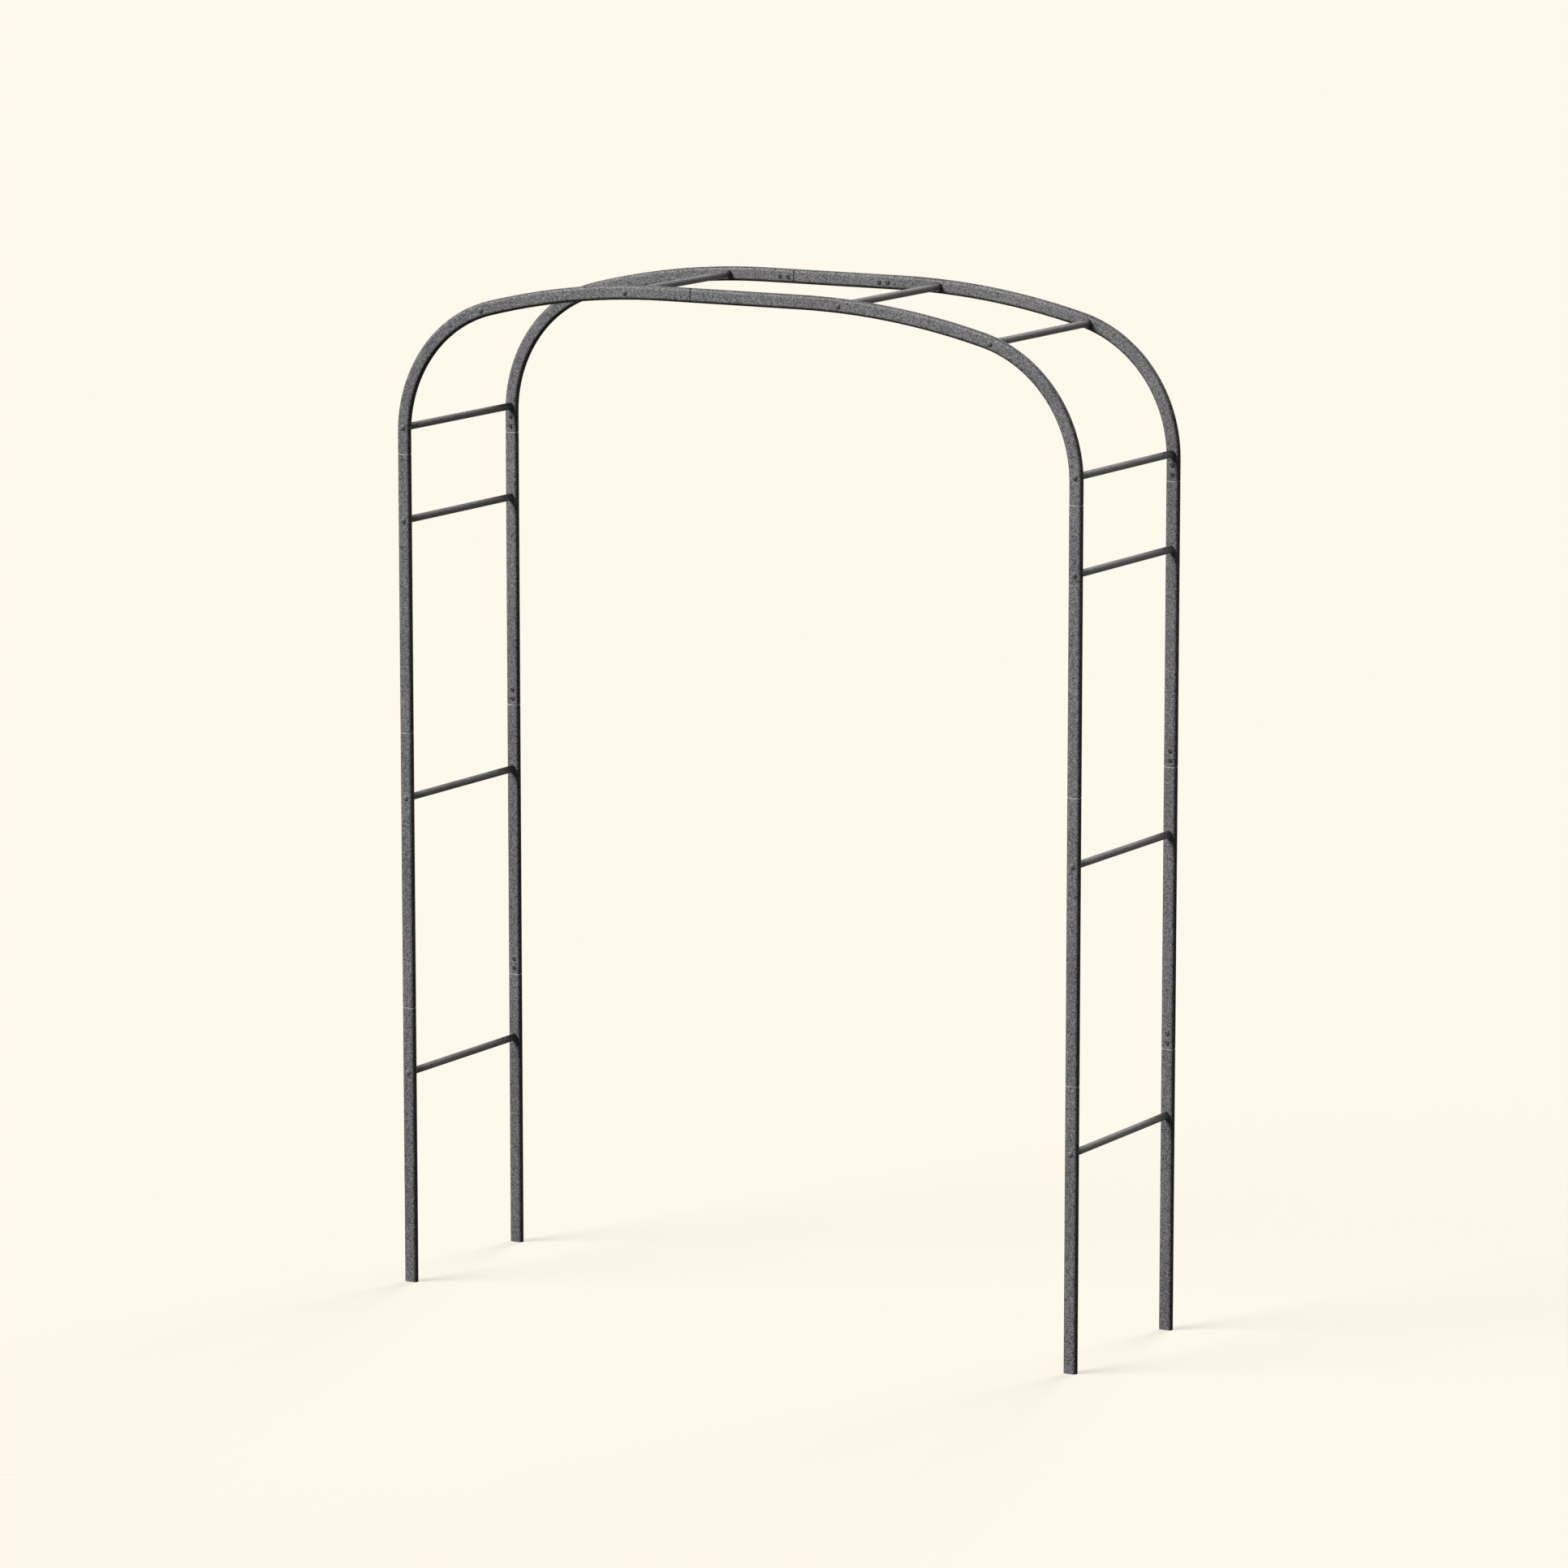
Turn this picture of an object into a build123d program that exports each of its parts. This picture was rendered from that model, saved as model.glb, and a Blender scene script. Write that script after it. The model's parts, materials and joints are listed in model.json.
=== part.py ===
from build123d import *
from math import cos, radians
import os

# ---------------------------------------------------------------------------
# Walk-through trellis arch: two bolted tube frames tied together by rungs.
# Millimetres. +Z is up, X runs across the walkway and Y runs through it.
# The origin lies on the ground, midway between the four feet.
# ---------------------------------------------------------------------------

# Layout, between tube centre lines
post_spacing = 1570.0
frame_spacing = 420.0

# Flat-sided oval tube of the frames, with its wide way across the arch
tube_width = 30.0
tube_depth = 15.0
tube_wall = 1.2

# Full-section lengths of the straight tubes
foot_length = 588.0
section_length = 581.5
crown_connector_length = 183.5

# Bends of the corner tube, on its centre line
corner_radius = 279.0
corner_angle = 75.5
tail_beyond_spigot = 1.0        # straight tube left between the post joint and the corner bend
crown_beyond_spigot = 25.0      # straight tube left between the crown joint and the crown curve

# Spigot joint: a swaged tube end that slides into the next tube, up to its shoulder
spigot_clearance = 0.2          # per side, inside the next tube
spigot_beyond_screws = 9.1
shoulder_length = 3.5           # taper from the full section to the spigot

# Joint screws: low socket heads on the face that looks at the other frame
screws_per_joint = 2
first_screw = 12.9              # from the mouth of the outer tube
screw_pitch = 19.5
screw_thread = 5.0
screw_beyond_nut = 1.4
screw_head = 8.5
screw_head_height = 2.4
screw_head_edge = 1.2           # rounding of the head's outer edge
screw_socket_flats = 4.0
screw_socket_depth = 1.9
screw_tip_chamfer = 0.5

# Weld nuts on the inside of the spigots
nut_flats = 8.0
nut_height = 4.0

# Rungs, and the threaded plugs in their ends
rung_diameter = 15.0
rung_wall = 1.2
rung_below_joint = 137.0        # from the top of the straight section that carries it
rung_above_spigot = 12.5        # lowest rung of the corner tube
shoulder_rung_along = 503.5     # along the corner tube, from the crown joint
crown_rung_along = 154.0        # along the corner tube, from the crown joint
plug_length = 18.0

# Rung bolts: smooth low domes on the outer faces
bolt_thread = 6.0
bolt_engagement = 14.0          # thread inside the plug
bolt_head = 12.0
bolt_head_height = 3.0
bolt_head_rim = 0.6
bolt_tip_chamfer = 0.8

# Radial clearances
clearance_hole = 0.3            # screws and bolts in plain holes
thread_clearance = 0.05         # threads in tapped holes
plug_clearance = 0.05           # plugs in the rungs

# ---------------------------------------------------------------------------
# Places that follow from the sizes
# ---------------------------------------------------------------------------

post_x = post_spacing / 2
frame_y = frame_spacing / 2
face_y = tube_depth / 2                                   # flat face of a frame tube
spigot_inset = tube_wall + spigot_clearance
mouth_rise = shoulder_length * tube_wall / spigot_inset   # where a mouth stops on the shoulder
screw_stations = [first_screw + i * screw_pitch for i in range(screws_per_joint)]
spigot_reach = screw_stations[-1] + spigot_beyond_screws  # from the mouth of the outer tube
joint_grip = 2 * tube_wall + spigot_clearance             # under the head of a joint screw

foot_top = foot_length
middle_top = foot_top + mouth_rise + section_length
upper_top = middle_top + mouth_rise + section_length
corner_bottom = upper_top + mouth_rise
crown_x = crown_connector_length / 2 + mouth_rise


def corner_centre_line():
    """Right-hand corner tube: tail, corner bend, crown curve and crown straight."""
    cosine = cos(radians(corner_angle))
    crown_bend_x = crown_x + spigot_reach + crown_beyond_spigot
    crown_radius = (post_x - corner_radius * (1 - cosine) - crown_bend_x) / cosine
    bend_start = corner_bottom + spigot_reach + tail_beyond_spigot
    with BuildLine(Plane.XZ) as line:
        tail = Line((post_x, corner_bottom), (post_x, bend_start))
        corner = JernArc(tail @ 1, tail % 1, corner_radius, corner_angle)
        crown = JernArc(corner @ 1, corner % 1, crown_radius, 90 - corner_angle)
        Line(crown @ 1, (crown_x, (crown @ 1).Z))
    return line.wire()


centre_line = corner_centre_line()
crown_z = (centre_line @ 1).Z


def along_corner(distance):
    """X and Z of the corner tube's centre line, at a distance from its lower end."""
    point = centre_line.position_at(distance, position_mode=PositionMode.LENGTH)
    return point.X, point.Z


# Rungs of the right-hand side; the left-hand side mirrors them
rung_places = {
    "foot_rung": (post_x, foot_top - rung_below_joint),
    "middle_rung": (post_x, middle_top - rung_below_joint),
    "upper_rung": (post_x, upper_top - rung_below_joint),
    "corner_rung": along_corner(spigot_reach + rung_above_spigot),
    "shoulder_rung": along_corner(centre_line.length - shoulder_rung_along),
    "crown_rung": along_corner(centre_line.length - crown_rung_along),
}


# ---------------------------------------------------------------------------
# Frame tubes
# ---------------------------------------------------------------------------

def from_origin(radius, height):
    """Cylinder that stands on the XY plane."""
    return Cylinder(radius, height, align=(Align.CENTER, Align.CENTER, Align.MIN))


def oval(inset):
    """Tube section, with its edge moved inwards by inset."""
    return SlotOverall(tube_width - 2 * inset, tube_depth - 2 * inset)


def hollow(form):
    """Tube whose wall lies between form(0) and form(tube_wall)."""
    return form(0) - form(tube_wall)


def spigot_tube(length):
    """Straight tube along +Z with a swaged spigot on top and its socket end at the origin."""
    def form(inset):
        barrel = extrude(oval(inset), length)
        spigot_section = Pos(Z=length + shoulder_length) * oval(inset + spigot_inset)
        shoulder = loft([Pos(Z=length) * oval(inset), spigot_section])
        spigot = extrude(spigot_section, mouth_rise + spigot_reach - shoulder_length)
        return barrel + shoulder + spigot

    return hollow(form)


def bent_tube(line):
    """Tube swept along a line in the XZ plane that starts upwards."""
    start = Location(line @ 0)
    return hollow(lambda inset: sweep(start * oval(inset), path=line))


def joint_holes(mouth, radius):
    """Cutters for the joint screws: from the tube's middle out through its +Y face."""
    drill = Rot(X=-90) * from_origin(radius, tube_depth)
    return [mouth * Pos(Z=z) * drill for z in screw_stations]


def rung_hole(x, z):
    """Cutter for a rung bolt, through both walls of a front frame tube."""
    return Pos(x, -frame_y, z) * Rot(X=90) * Cylinder(bolt_thread / 2 + clearance_hole, 2 * tube_depth)


def mouth_on_post(z):
    """Lower end of an outer tube on the right-hand post: +Z runs into it, +Y faces the other frame."""
    return Location(Plane((post_x, -frame_y, z), x_dir=(1, 0, 0), z_dir=(0, 0, 1)))


post_mouths = [mouth_on_post(top + mouth_rise) for top in (foot_top, middle_top, upper_top)]
crown_mouth = Location(Plane((crown_x, -frame_y, crown_z), x_dir=(0, 0, -1), z_dir=(1, 0, 0)))

socket_radius = screw_thread / 2 + clearance_hole
tapped_radius = screw_thread / 2 + thread_clearance


def straight_section(base, length, rung, lower_mouth, upper_mouth):
    """One straight tube of the right-hand front post, with its holes."""
    tube = Pos(post_x, -frame_y, base) * spigot_tube(length)
    tube -= [rung_hole(*rung_places[rung])] + joint_holes(upper_mouth, tapped_radius)
    if lower_mouth:
        tube -= joint_holes(lower_mouth, socket_radius)
    return tube


def corner_tube():
    """Bent tube of the right-hand front corner: a socket at both ends and three rung holes."""
    rungs = [rung_hole(*rung_places[name]) for name in ("corner_rung", "shoulder_rung", "crown_rung")]
    sockets = joint_holes(post_mouths[2], socket_radius) + joint_holes(crown_mouth, socket_radius)
    return Pos(Y=-frame_y) * bent_tube(centre_line) - rungs - sockets


def crown_connector():
    """Straight tube across the top, with a spigot at both ends."""
    middle = Pos(0, -frame_y, crown_z) * Rot(Y=90)
    right = middle * spigot_tube(crown_connector_length / 2) - joint_holes(crown_mouth, tapped_radius)
    return right + mirror(right, about=Plane.YZ)


# ---------------------------------------------------------------------------
# Rungs and fasteners, each made on the origin
# ---------------------------------------------------------------------------

def rung():
    """Round tube along Y, centred, that just reaches the inner faces of both frames."""
    length = frame_spacing - tube_depth
    wall = Circle(rung_diameter / 2) - Circle(rung_diameter / 2 - rung_wall)
    return extrude(Plane.XZ * wall, length / 2, both=True)


def rung_plug():
    """Threaded plug that stands on the XY plane, its mouth downwards."""
    bore = from_origin(bolt_thread / 2 + thread_clearance, plug_length)
    return from_origin(rung_diameter / 2 - rung_wall - plug_clearance, plug_length) - bore


def dome_radius(half_width, rise):
    """Radius of the arc that rises from zero to rise over half_width."""
    return (half_width ** 2 + rise ** 2) / (2 * rise)


def head_blank(diameter, height):
    """Cylinder that hangs from the XY plane."""
    return Pos(Z=-height) * from_origin(diameter / 2, height)


def shank(thread, length, tip_chamfer):
    """Plain cylinder for a thread: it stands on the XY plane and ends in a chamfered tip."""
    blank = from_origin(thread / 2, length)
    return chamfer(blank.edges().sort_by(Axis.Z)[-1], tip_chamfer)


def rung_bolt():
    """Bolt that seats on the XY plane, with a smooth low dome below and its shank above."""
    radius = dome_radius(bolt_head / 2, bolt_head_height - bolt_head_rim)
    dome = head_blank(bolt_head, bolt_head_height) & Pos(Z=radius - bolt_head_height) * Sphere(radius)
    return dome + shank(bolt_thread, tube_depth + bolt_engagement, bolt_tip_chamfer)


def joint_screw():
    """Screw that seats on the XY plane, with a low socket head below and its shank above."""
    head = head_blank(screw_head, screw_head_height)
    head = fillet(head.edges().sort_by(Axis.Z)[0], screw_head_edge)
    socket = Pos(Z=-screw_head_height) * RegularPolygon(screw_socket_flats / 2, 6, major_radius=False)
    length = joint_grip + nut_height + screw_beyond_nut
    return head - extrude(socket, screw_socket_depth) + shank(screw_thread, length, screw_tip_chamfer)


def weld_nut():
    """Hexagon nut that stands on the XY plane."""
    hexagon = RegularPolygon(nut_flats / 2, 6, major_radius=False)
    return extrude(hexagon - Circle(screw_thread / 2 + thread_clearance), nut_height)


# ---------------------------------------------------------------------------
# Assembly: the right-hand side of the front frame is mirrored to the left, and
# the whole front frame is mirrored to the back
# ---------------------------------------------------------------------------

def both_sides(solid):
    return [solid, mirror(solid, about=Plane.YZ)]


def at_joints(piece, seat):
    """A piece at every joint screw of the front frame, running in from a seat beside the tube's middle."""
    placed = []
    for mouth in post_mouths + [crown_mouth]:
        for station in screw_stations:
            placed += both_sides(mouth * Pos(0, seat, station) * Rot(X=90) * piece)
    return placed


def at_rungs(piece, seat):
    """A piece at every rung of the front frame, running towards the back frame from a seat."""
    placed = []
    for x, z in rung_places.values():
        placed += both_sides(Pos(x, seat, z) * Rot(X=-90) * piece)
    return placed


front_frame = {
    "crown_connector": [crown_connector()],
    "joint_screws": at_joints(joint_screw(), face_y),
    "weld_nuts": at_joints(weld_nut(), face_y - joint_grip),
    "rung_bolts": at_rungs(rung_bolt(), -frame_y - face_y),
    "rung_plugs": at_rungs(rung_plug(), -frame_y + face_y),
}
right_tubes = {
    "foot_section": straight_section(0, foot_length, "foot_rung", None, post_mouths[0]),
    "middle_section": straight_section(foot_top + mouth_rise, section_length, "middle_rung",
                                       post_mouths[0], post_mouths[1]),
    "upper_section": straight_section(middle_top + mouth_rise, section_length, "upper_rung",
                                      post_mouths[1], post_mouths[2]),
    "corner_tube": corner_tube(),
}
for name, tube in right_tubes.items():
    right, left = both_sides(tube)
    front_frame["right_" + name] = [right]
    front_frame["left_" + name] = [left]

nodes = {}
for name, solids in front_frame.items():
    nodes["front_" + name] = solids
    nodes["back_" + name] = [mirror(solid, about=Plane.XZ) for solid in solids]
for name, (x, z) in rung_places.items():
    nodes["right_" + name] = [Pos(x, 0, z) * rung()]
    nodes["left_" + name] = [Pos(-x, 0, z) * rung()]

os.makedirs("parts", exist_ok=True)
for name, solids in nodes.items():
    export_step(solids[0] if len(solids) == 1 else Compound(children=solids), f"parts/{name}.step")
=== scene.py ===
import json
from math import cos, pi, radians, sin, tau

import bpy
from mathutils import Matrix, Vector


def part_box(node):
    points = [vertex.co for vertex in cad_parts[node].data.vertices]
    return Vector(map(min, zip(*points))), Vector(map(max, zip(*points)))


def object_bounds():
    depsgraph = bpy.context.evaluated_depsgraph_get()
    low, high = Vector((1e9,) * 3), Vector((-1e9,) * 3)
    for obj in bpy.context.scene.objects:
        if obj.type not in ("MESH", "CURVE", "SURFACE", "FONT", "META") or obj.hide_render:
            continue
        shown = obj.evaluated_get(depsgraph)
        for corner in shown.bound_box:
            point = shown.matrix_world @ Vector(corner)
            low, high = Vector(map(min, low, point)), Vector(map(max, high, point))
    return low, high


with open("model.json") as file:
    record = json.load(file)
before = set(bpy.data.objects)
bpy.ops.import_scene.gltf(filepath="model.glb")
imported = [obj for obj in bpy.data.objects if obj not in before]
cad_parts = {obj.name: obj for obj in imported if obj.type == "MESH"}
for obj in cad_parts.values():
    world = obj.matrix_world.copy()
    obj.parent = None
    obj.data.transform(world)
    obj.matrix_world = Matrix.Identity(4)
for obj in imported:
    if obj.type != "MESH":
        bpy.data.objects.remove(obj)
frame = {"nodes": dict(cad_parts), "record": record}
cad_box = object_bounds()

# Looks of a bolted garden arch: hammered grey paint on the tubes, smoother paint on the rungs and
# the screws, and zinc plating on what sits inside. Metres, degrees and linear colours, +Z up.
# Azimuth 0 stands in front of the arch, on the -Y side, and it turns towards +X.

# Camera
camera_azimuth = 29.93
camera_elevation = 9.9
camera_distance = 15.6
camera_aim_share = 0.5145        # height of the aim, as a share of the arch's height
camera_lens = 174.04             # millimetres
camera_sensor = 36.0             # millimetres
camera_range = 600.0             # well past the rim of the floor

# Lamps
lamps = {
    "key": {"azimuth": -42.0, "elevation": 45.0, "strength": 5.4, "angle": 30.0},
    "back": {"azimuth": 178.0, "elevation": 34.0, "strength": 3.6, "angle": 30.0},
    "side": {"azimuth": 100.0, "elevation": 15.0, "strength": 0.42, "angle": 40.0},
}
ambient = (0.02, 0.02, 0.02)

# Backdrop
cream = (1.0, 0.947, 0.831)
floor_radius = 60.0
floor_sides = 96
floor_glow = 0.62                # share of the floor's brightness that no shadow dims
floor_bounce = (0.05, 0.05, 0.05)

# Patterns in the finishes
dimple_size = 0.0034
dimple_smoothness = 0.4
dimple_depth = 0.00015
dimple_grain = 0.5               # height of the grain, as a share of the dimples'
flake_size = 0.0018
grain_size = 0.0028
drift_size = 0.16
peel_size = 0.0018
peel_depth = 0.00003
fine_detail = 2.0                # octaves of the grain and the orange peel
drift_detail = 3.0               # octaves of the drift
spangle_density = 900.0          # crystals per metre
dimple_middle = 0.35             # middle value of the dimples
middle = 0.5                     # middle value of the other patterns, and the plain tone

# Shades of each finish, for a tone that runs from 0 to 1
tube_shades = ((0.035, 0.035, 0.035), (0.17, 0.17, 0.17), (0.4, 0.398, 0.396))
rung_shades = ((0.014, 0.014, 0.014), (0.162, 0.161, 0.161), (0.27, 0.269, 0.268))
fastener_shades = ((0.07, 0.07, 0.07), (0.11, 0.11, 0.11), (0.16, 0.16, 0.16))
plated_shades = ((0.42, 0.43, 0.44), (0.6, 0.6, 0.58))

# Roughness of each finish, with how far its pattern moves it, and gloss: the specular level
tube_roughness, tube_roughness_spread, tube_gloss = 0.55, 0.15, 0.02
rung_roughness, rung_gloss = 0.5, 0.02
fastener_roughness, fastener_gloss = 0.45, 0.25
satin_roughness_spread = 0.1
plated_roughness, plated_roughness_spread = 0.3, 0.15

# How far each pattern moves the tone
tube_tones = {"dimple": -0.55, "flake": 0.4, "grain": 0.8, "drift": 0.25}
satin_tones = {"peel": 2.0, "flake": 0.4, "drift": 0.4}

# Painted highlight on the shoulders beside the mouths of the next tubes, and painted shade in the
# seam at the left end of the crown
shoulder_band = 0.0032           # length of a shoulder that shows
post_shoulder_highlight_tone = 0.27
crown_shoulder_highlight_tone = 0.25
crown_seam_shade_tone = -0.4

# Painted shade and highlight on the tubes by the way they face: shares of the normal where a mask
# starts and is full
rounded_side_shade_tone = -0.32
rounded_from = (0.97, 0.68)      # along Y: from beside a flat face to the rounded narrow side
underside_shade_tone = -0.3
underside_from = (-0.1, -0.6)    # along Z
upper_edge_highlight_tone = 0.12
upper_edge_from = (0.2, 0.5)     # along Z, from the flat face up
upper_edge_to = (0.95, 0.7)      # along Z, from the top down
height_light_tone = 0.055              # painted light: how much the tone of the tubes rises, per metre of height
height_middle = 0.88             # height at which the tubes have their plain tone

# Painted shade on the rungs by place and by the way they face, and a tone that rises across the
# arch
end_shade_tone = -0.5
end_fade = 0.05                  # length at each end of a rung over which a painted shade darkens it
back_fade = 0.11                 # the same on top of a rung, at its back end
end_power = 1.2
across_tone = 0.115              # how much the tone of the rungs rises, per metre to the right
top_shade_tone = -0.22
top_middle = 0.45                # share of the top's mask at which a rung has its plain tone
top_from = (0.3, 0.85)           # along Z: from the side of a rung to its top


def direction(azimuth, elevation):
    """Unit vector from the arch towards an azimuth and an elevation."""
    a, e = radians(azimuth), radians(elevation)
    return Vector((sin(a) * cos(e), -cos(a) * cos(e), sin(e)))


def look_from(obj, towards):
    """Turns a camera or a lamp so that it looks against the direction it stands in."""
    obj.rotation_euler = towards.to_track_quat("Z", "Y").to_euler()


# ---------------------------------------------------------------------------
# Camera and light
# ---------------------------------------------------------------------------

def make_camera():
    low, high = cad_box
    aim = (low + high) / 2
    aim.z = low.z + camera_aim_share * (high.z - low.z)
    data = bpy.data.cameras.new("camera")
    data.lens = camera_lens
    data.sensor_width = camera_sensor
    data.clip_end = camera_range
    camera = bpy.data.objects.new("camera", data)
    towards = direction(camera_azimuth, camera_elevation)
    camera.location = aim + camera_distance * towards
    look_from(camera, towards)
    bpy.context.scene.collection.objects.link(camera)
    bpy.context.scene.camera = camera


def make_lamp(name, azimuth, elevation, strength, angle):
    data = bpy.data.lights.new(name, "SUN")
    data.energy = strength
    data.angle = radians(angle)
    lamp = bpy.data.objects.new(name, data)
    look_from(lamp, direction(azimuth, elevation))
    bpy.context.scene.collection.objects.link(lamp)


make_camera()
for name, lamp in lamps.items():
    make_lamp(name, **lamp)


# ---------------------------------------------------------------------------
# Node helpers
# ---------------------------------------------------------------------------

class Graph:
    """Node tree with short calls: a socket takes a value, or a link from another socket."""

    def __init__(self, tree):
        self.tree = tree
        tree.nodes.clear()

    def add(self, kind, inputs=None, **settings):
        node = self.tree.nodes.new(kind)
        for name, value in settings.items():
            setattr(node, name, value)
        for name, value in (inputs or {}).items():
            self.put(node.inputs[name], value)
        return node

    def put(self, socket, value):
        if isinstance(value, bpy.types.NodeSocket):
            self.tree.links.new(value, socket)
        else:
            socket.default_value = value

    def math(self, operation, a, b=0.0):
        return self.add("ShaderNodeMath", {0: a, 1: b}, operation=operation).outputs[0]

    def seen(self):
        """1 for the rays that show a background: camera, glossy and transmission rays."""
        path = self.add("ShaderNodeLightPath").outputs
        both = self.math("MAXIMUM", path["Is Camera Ray"], path["Is Glossy Ray"])
        return self.math("MAXIMUM", both, path["Is Transmission Ray"])


def new_material(name):
    """A new material with its empty graph."""
    material = bpy.data.materials.new(name)
    material.use_nodes = True
    return material, Graph(material.node_tree)


def rgba(color):
    return (*color, 1.0)


# ---------------------------------------------------------------------------
# World and floor
# ---------------------------------------------------------------------------

def make_world():
    world = bpy.data.worlds.new("studio")
    world.use_nodes = True
    g = Graph(world.node_tree)
    soft = g.add("ShaderNodeBackground", {"Color": rgba(ambient)})
    shown = g.add("ShaderNodeBackground", {"Color": rgba(cream)})
    mix = g.add("ShaderNodeMixShader", {0: g.seen(), 1: soft.outputs[0], 2: shown.outputs[0]})
    g.add("ShaderNodeOutputWorld", {"Surface": mix.outputs[0]})
    bpy.context.scene.world = world


def floor_material():
    """Cream ground: part glow, part lit paint that takes the shadow. It bounces little light."""
    material, g = new_material("studio_floor")
    level = ambient[0] + sum(lamp["strength"] * sin(radians(lamp["elevation"])) / pi
                             for lamp in lamps.values())
    lit_color = [(1 - floor_glow) * c / level for c in cream]
    lit = g.add("ShaderNodeBsdfDiffuse", {"Color": rgba(lit_color)})
    glow = g.add("ShaderNodeEmission", {"Color": rgba(cream), "Strength": floor_glow})
    shown = g.add("ShaderNodeAddShader", {0: lit.outputs[0], 1: glow.outputs[0]})
    bounce = g.add("ShaderNodeBsdfDiffuse", {"Color": rgba(floor_bounce)})
    mix = g.add("ShaderNodeMixShader", {0: g.seen(), 1: bounce.outputs[0], 2: shown.outputs[0]})
    g.add("ShaderNodeOutputMaterial", {"Surface": mix.outputs[0]})
    return material


def make_floor():
    low = cad_box[0].z
    turns = [tau * i / floor_sides for i in range(floor_sides)]
    rim = [(floor_radius * cos(turn), floor_radius * sin(turn), low) for turn in turns]
    mesh = bpy.data.meshes.new("floor")
    mesh.from_pydata(rim, [], [range(floor_sides)])
    mesh.materials.append(floor_material())
    floor = bpy.data.objects.new("floor", mesh)
    bpy.context.scene.collection.objects.link(floor)


make_world()
make_floor()


# ---------------------------------------------------------------------------
# Patterns and masks. place is a point's place in the shared frame
# ---------------------------------------------------------------------------

def noise(g, place, size, detail):
    """Smooth noise with blobs of about this size."""
    fit = {"Vector": place, "Scale": 1 / size, "Detail": detail}
    return g.add("ShaderNodeTexNoise", fit).outputs["Fac"]


def cells(g, place, density):
    """A value of its own for each cell of a mosaic with so many cells per metre."""
    mosaic = g.add("ShaderNodeTexVoronoi", {"Vector": place, "Scale": density}).outputs["Color"]
    return g.add("ShaderNodeSeparateColor", {"Color": mosaic}).outputs[0]


def along(g, vector, axis):
    """One of the X, Y and Z of a vector."""
    return g.add("ShaderNodeSeparateXYZ", {"Vector": vector}).outputs[axis]


def normal_along(g, axis):
    """Share along an axis of the way that the surface faces."""
    return along(g, g.add("ShaderNodeTexCoord").outputs["Normal"], axis)


def rising(g, value, start, full, interpolation="LINEAR"):
    """0 where the value is short of start, rising to 1 where it reaches full."""
    limits = {"Value": value, "From Min": start, "From Max": full}
    return g.add("ShaderNodeMapRange", limits, interpolation_type=interpolation).outputs[0]


def sum_of(g, start, *terms):
    """start plus each weight times its pattern, with the pattern's middle taken off first."""
    total = start
    for weight, pattern, pattern_middle in terms:
        centred = g.math("SUBTRACT", pattern, pattern_middle)
        total = g.math("ADD", total, g.math("MULTIPLY", centred, weight))
    return total


def shaded(g, tone, shades):
    """Colour that runs evenly through the shades as tone runs from 0 to 1."""
    ramp = g.add("ShaderNodeValToRGB", {"Fac": tone})
    elements = ramp.color_ramp.elements
    elements[0].color = rgba(shades[0])
    elements[1].color = rgba(shades[-1])
    for i, shade in enumerate(shades[1:-1], 1):
        elements.new(i / (len(shades) - 1)).color = rgba(shade)
    return ramp.outputs["Color"]


def shoulder_highlight_and_shade(g, place):
    """Painted highlight on most shoulders beside the tube mouths, and painted shade in the seam at
    the left end of the crown.
    """
    half = shoulder_band / 2
    bands = [("Z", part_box("front_right_" + piece)[0].z - half, post_shoulder_highlight_tone)
             for piece in ("middle_section", "upper_section", "corner_tube")]
    bands.append(("X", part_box("front_right_corner_tube")[0].x - half, crown_shoulder_highlight_tone))
    bands.append(("X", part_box("front_left_corner_tube")[1].x + half, crown_seam_shade_tone))
    total = 0.0
    for axis, centre, tone in bands:
        away = g.math("ABSOLUTE", g.math("SUBTRACT", along(g, place, axis), centre))
        total = g.math("ADD", total, g.math("MULTIPLY", g.math("LESS_THAN", away, half), tone))
    return total


def rounded(g):
    """1 on the rounded narrow sides of the tubes, and 0 on their flat faces, which look along Y."""
    return rising(g, g.math("ABSOLUTE", normal_along(g, "Y")), *rounded_from, "SMOOTHSTEP")


def underside(g):
    """0 on posts and tops, rising to 1 on the undersides of the tubes."""
    return rising(g, normal_along(g, "Z"), *underside_from)


def upper_edge(g):
    """1 on the slopes above the flat faces of the tubes, and 0 elsewhere."""
    upwards = normal_along(g, "Z")
    above_face = rising(g, upwards, *upper_edge_from)
    below_top = rising(g, upwards, *upper_edge_to)
    return g.math("MULTIPLY", above_face, below_top)


def rung_top(g):
    """0 on the sides of a rung, rising to 1 on its top."""
    return rising(g, normal_along(g, "Z"), *top_from)


def near_ends(g, place):
    """0 along a rung, rising to 1 at its ends: over a longer way on top, at the back end."""
    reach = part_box("left_foot_rung")[1].y
    backwards = along(g, place, "Y")
    back_top = g.math("MULTIPLY", rung_top(g), g.math("GREATER_THAN", backwards, 0.0))
    fade = sum_of(g, end_fade, (back_fade - end_fade, back_top, 0.0))
    to_end = g.math("SUBTRACT", reach, g.math("ABSOLUTE", backwards))
    share = g.math("SUBTRACT", 1.0, g.math("DIVIDE", to_end, fade))
    return g.math("POWER", g.math("MAXIMUM", share, 0.0), end_power)


# ---------------------------------------------------------------------------
# Finishes
# ---------------------------------------------------------------------------

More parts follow.
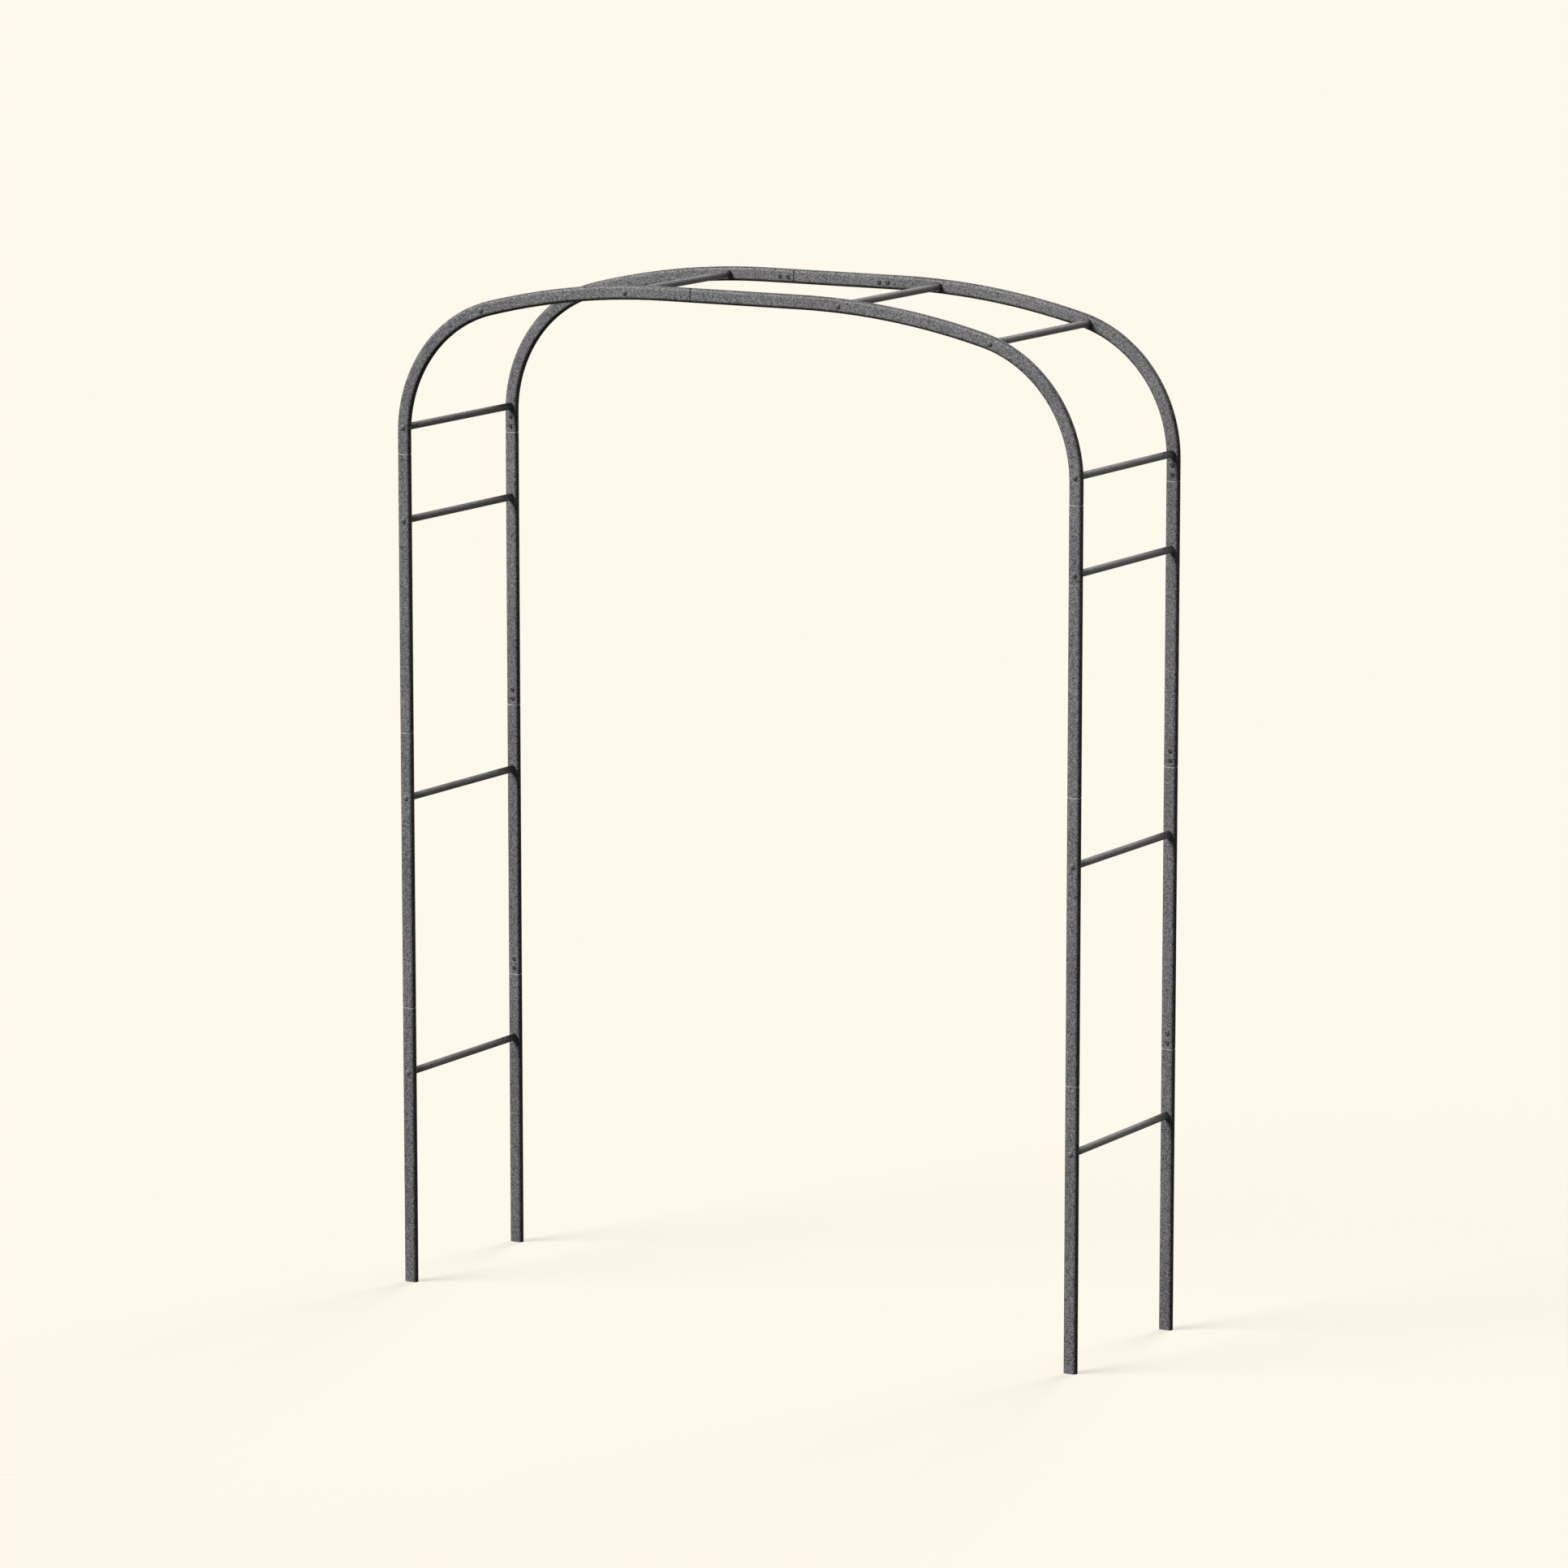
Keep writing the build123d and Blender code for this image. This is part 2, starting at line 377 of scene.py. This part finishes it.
def hammered_paint(name):
    """Hammer-finish stove paint: shallow dimples with light and dark grain, on all the frame tubes.

    Painted shade makes it darker on the rounded narrow sides than on the flat faces, and darkest
    underneath. Painted highlight lightens the slopes above the flat faces and most shoulders,
    painted shade darkens the seam at the left end of the crown, and painted light makes it lighter
    higher up.
    """
    material, g = new_material(name)
    place = g.add("ShaderNodeTexCoord").outputs["Object"]
    hollows = {"Vector": place, "Scale": 1 / dimple_size, "Smoothness": dimple_smoothness}
    dimple = g.add("ShaderNodeTexVoronoi", hollows, feature="SMOOTH_F1").outputs["Distance"]
    flake = cells(g, place, 1 / flake_size)
    grain = noise(g, place, grain_size, fine_detail)
    drift = noise(g, place, drift_size, drift_detail)
    tone = sum_of(
        g, middle,
        (tube_tones["dimple"], dimple, dimple_middle),
        (tube_tones["flake"], flake, middle),
        (tube_tones["grain"], grain, middle),
        (tube_tones["drift"], drift, middle),
        # Painted highlight and shade: shoulders and upper edges lighter; narrow sides, undersides
        # and one crown seam darker; lighter higher up
        (1.0, shoulder_highlight_and_shade(g, place), 0.0),
        (rounded_side_shade_tone, rounded(g), 0.0),
        (underside_shade_tone, underside(g), 0.0),
        (upper_edge_highlight_tone, upper_edge(g), 0.0),
        (height_light_tone, along(g, place, "Z"), height_middle))
    height = sum_of(g, 0.0, (-1.0, dimple, 0.0), (dimple_grain, grain, middle))
    bump = g.add("ShaderNodeBump", {"Height": height, "Distance": dimple_depth, "Strength": 1.0})
    paint = g.add("ShaderNodeBsdfPrincipled", {
        "Base Color": shaded(g, tone, tube_shades),
        "Roughness": sum_of(g, tube_roughness, (tube_roughness_spread, flake, middle)),
        "Specular IOR Level": tube_gloss,
        "Normal": bump.outputs["Normal"]})
    g.add("ShaderNodeOutputMaterial", {"Surface": paint.outputs[0]})
    return material


def rung_shade_and_tone(g, place):
    """Terms of the tone that only the rungs have: painted shade at their ends and on top, with
    lighter sides, and a tone that rises across the arch.
    """
    return ((end_shade_tone, near_ends(g, place), 0.0),
            (across_tone, along(g, place, "X"), 0.0),
            (top_shade_tone, rung_top(g), top_middle))


def no_extra_tone(g, place):
    """The fasteners have no such terms."""
    return ()


def satin_paint(name, shades, roughness, gloss, extra_tone):
    """Smooth satin paint with a faint orange peel, on the rungs and the heads of the fasteners."""
    material, g = new_material(name)
    place = g.add("ShaderNodeTexCoord").outputs["Object"]
    peel = noise(g, place, peel_size, fine_detail)
    drift = noise(g, place, drift_size, drift_detail)
    flake = cells(g, place, 1 / flake_size)
    tone = sum_of(
        g, middle,
        (satin_tones["peel"], peel, middle),
        (satin_tones["flake"], flake, middle),
        (satin_tones["drift"], drift, middle),
        # On the rungs: painted shade at the ends and on top, and a tone that rises across the arch
        *extra_tone(g, place))
    bump = g.add("ShaderNodeBump", {"Height": peel, "Distance": peel_depth, "Strength": 1.0})
    paint = g.add("ShaderNodeBsdfPrincipled", {
        "Base Color": shaded(g, tone, shades),
        "Roughness": sum_of(g, roughness, (satin_roughness_spread, peel, middle)),
        "Specular IOR Level": gloss,
        "Normal": bump.outputs["Normal"]})
    g.add("ShaderNodeOutputMaterial", {"Surface": paint.outputs[0]})
    return material


def plated(name):
    """Zinc-plated steel: pale grey metal with a faint crystalline pattern."""
    material, g = new_material(name)
    place = g.add("ShaderNodeTexCoord").outputs["Object"]
    spangle = cells(g, place, spangle_density)
    metal = g.add("ShaderNodeBsdfPrincipled", {
        "Base Color": shaded(g, spangle, plated_shades),
        "Metallic": 1.0,
        "Roughness": sum_of(g, plated_roughness, (plated_roughness_spread, spangle, 0.0))})
    g.add("ShaderNodeOutputMaterial", {"Surface": metal.outputs[0]})
    return material


finishes = {
    "painted_tube": hammered_paint("painted_tube"),
    "painted_rung": satin_paint(
        "painted_rung", rung_shades, rung_roughness, rung_gloss, rung_shade_and_tone),
    "painted_fastener": satin_paint(
        "painted_fastener", fastener_shades, fastener_roughness, fastener_gloss, no_extra_tone),
    "plated_steel": plated("plated_steel"),
}
slots = {part["node"]: part["material_slot"] for part in frame["record"]["subparts"]}
for name, node in frame["nodes"].items():
    for material_slot in node.material_slots:
        material_slot.material = finishes[slots[name]]

bpy.context.scene.view_settings.view_transform = "Standard"
